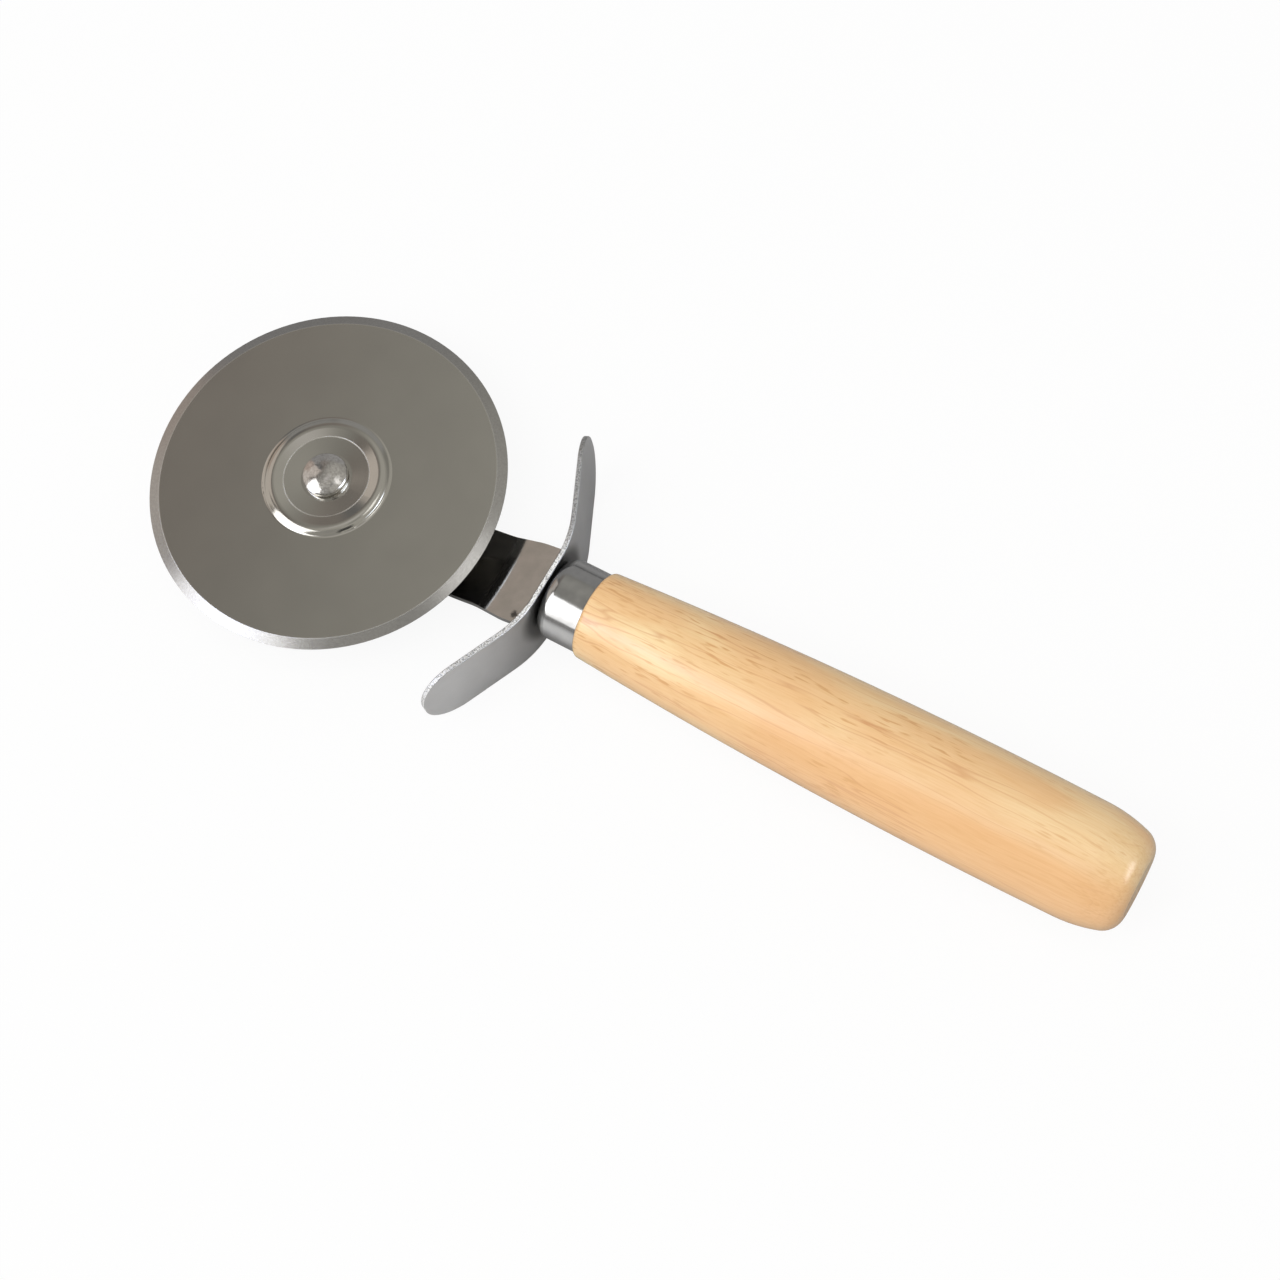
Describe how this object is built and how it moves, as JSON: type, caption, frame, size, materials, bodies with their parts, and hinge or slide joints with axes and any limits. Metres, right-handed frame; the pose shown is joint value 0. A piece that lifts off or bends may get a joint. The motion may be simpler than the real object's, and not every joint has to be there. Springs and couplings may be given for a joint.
{
  "type": "pizza cutter wheel",
  "caption": "Hand pizza cutter: a free-turning steel wheel on a bent flat arm, with a finger guard, a chromed ferrule and a turned wooden handle.",
  "frame": {"origin": "the wheel's centre, on its axle and in the plane of its cutting edge; the handle's axis passes 0.7 mm below it", "axes": "+X along the handle towards the butt; +Z along the wheel's axle, out of the rivet's domed head; +Y across the finger guard"},
  "size_m": [0.2051, 0.07, 0.0226],
  "materials": {
    "blade_steel": "polished stainless",
    "axle_steel": "polished stainless",
    "arm_steel": "polished stainless",
    "guard_steel": "tumbled matte with sheared bright edges",
    "ferrule_chrome": "mirror plated",
    "handle_wood": "clear lacquer over pale peach-brown beech"
  },
  "bodies": {
    "handle_side": {"thrust_washer": "axle_steel", "axle_bush": "axle_steel", "axle_rivet": "axle_steel", "tail_washer": "axle_steel", "arm": "arm_steel", "finger_guard": "guard_steel", "ferrule": "ferrule_chrome", "handle": "handle_wood"},
    "wheel": {"blade_wheel": "blade_steel"}
  },
  "joints": [
    {"name": "wheel_spin", "type": "hinge", "parent": "handle_side", "child": "wheel", "pos_m": [0, 0, 0], "axis": [0, 0, 1], "continuous": true}
  ]
}
